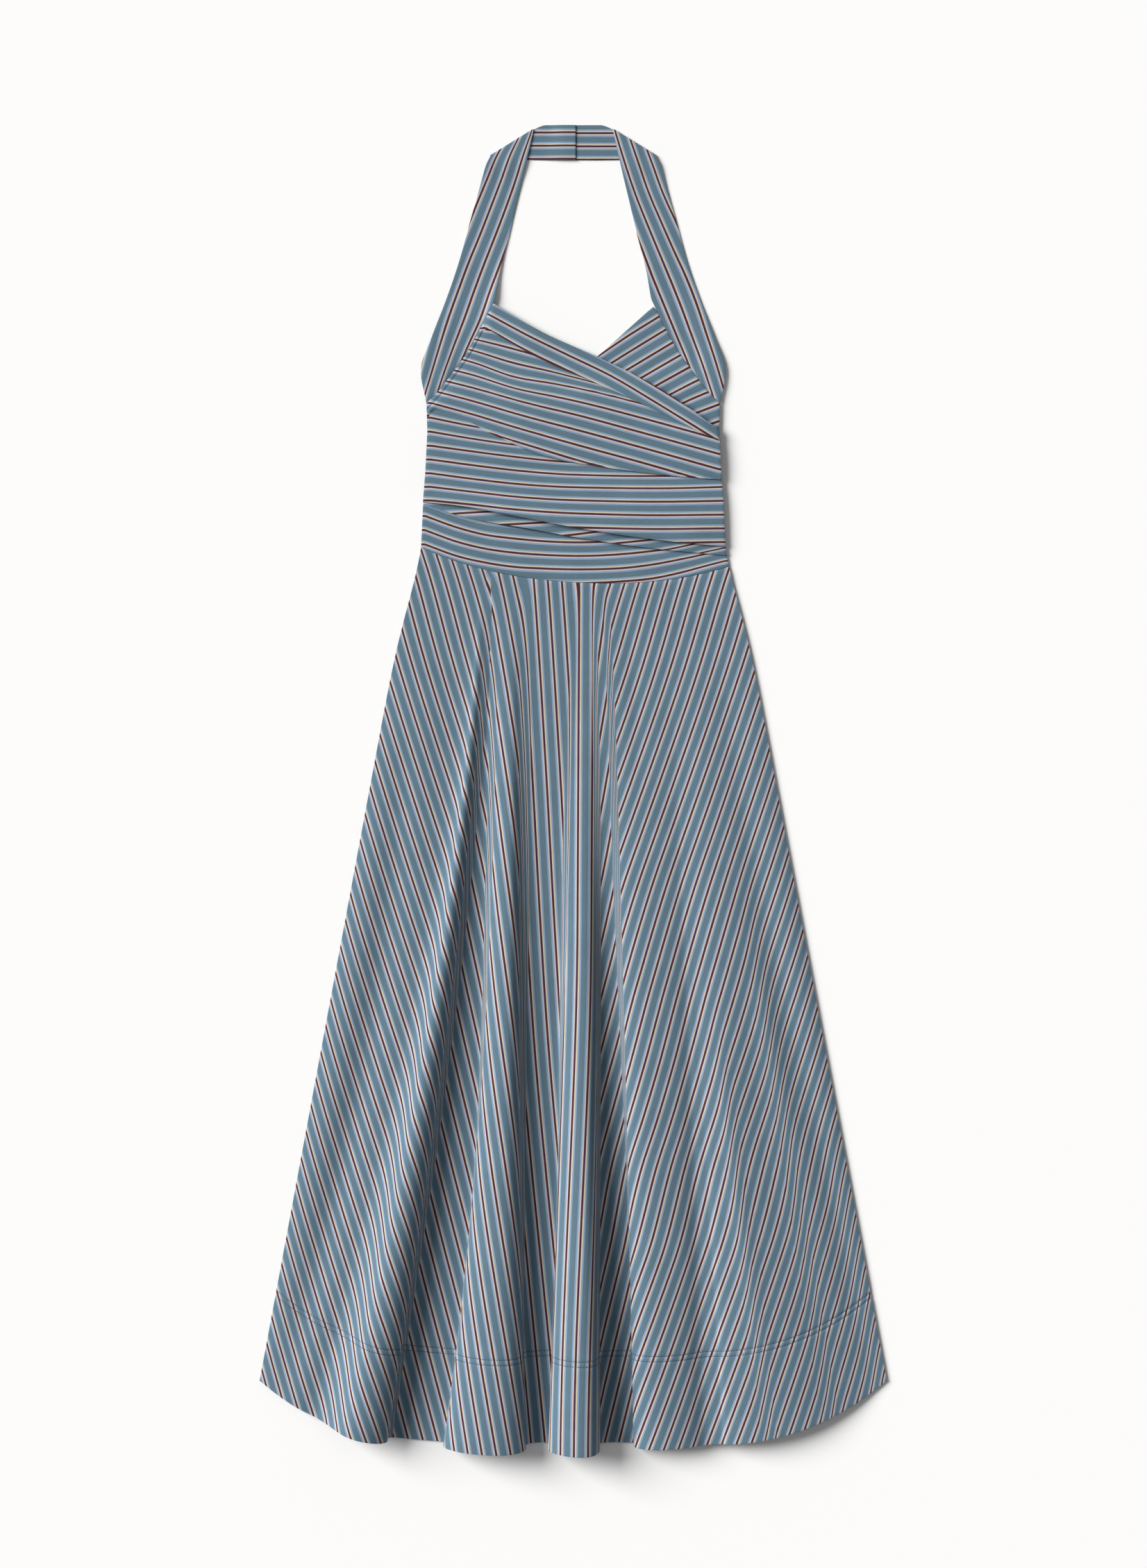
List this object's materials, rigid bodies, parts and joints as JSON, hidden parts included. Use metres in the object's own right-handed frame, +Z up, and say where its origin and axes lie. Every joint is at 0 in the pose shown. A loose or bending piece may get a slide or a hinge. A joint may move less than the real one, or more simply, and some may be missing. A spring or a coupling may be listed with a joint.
{
  "type": "halter-neck midi dress",
  "caption": "Halter-neck midi dress of striped cloth laid flat: straps joined behind the neck, wrapped pleated bodice, curved waistband and flared skirt in long folds.",
  "frame": {"origin": "on the surface that the dress lies on, under the middle of its outline", "axes": "+X towards the viewer's right, +Y from the hem to the neck, +Z up out of the surface"},
  "size_m": [0.6594, 1.3947, 0.0383],
  "materials": {
    "strap_left": "matte woven stripe",
    "strap_right": "matte woven stripe",
    "bodice_wrap": "matte woven stripe",
    "bodice_under": "matte woven stripe",
    "waistband_front": "matte woven stripe",
    "skirt_front": "matte woven stripe",
    "bodice_back": "matte woven stripe",
    "waistband_back": "matte woven stripe",
    "skirt_back": "matte woven stripe"
  },
  "bodies": {
    "root": {"strap_left": "strap_left", "strap_right": "strap_right", "bodice_wrap": "bodice_wrap", "bodice_under": "bodice_under", "waistband_front": "waistband_front", "skirt_front": "skirt_front", "bodice_back": "bodice_back", "waistband_back": "waistband_back", "skirt_back": "skirt_back"}
  },
  "joints": []
}
